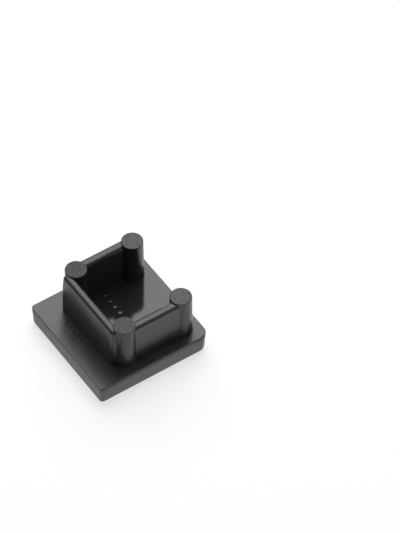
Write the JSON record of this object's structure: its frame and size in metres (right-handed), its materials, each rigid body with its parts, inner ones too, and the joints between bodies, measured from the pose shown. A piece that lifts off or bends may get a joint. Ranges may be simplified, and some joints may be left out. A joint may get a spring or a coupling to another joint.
{
  "type": "profile end cap",
  "caption": "Square push-in end cap, moulded in one piece: a thick flange that closes the channel's end, and a plug of corner posts and thin walls, open at the back, that grips inside it.",
  "frame": {"origin": "centre of the flange's outer face", "axes": "+Z away from the outer face, along the plug into the channel; +X towards the plug's open back and the channel's back; -X towards the channel's slot; +Y along the slot side"},
  "size_m": [0.03, 0.03, 0.0172],
  "materials": {
    "black_plastic": "satin black moulded plastic, leather-grained on the outer face"
  },
  "bodies": {
    "root": {"end_cap": "black_plastic"}
  },
  "joints": []
}
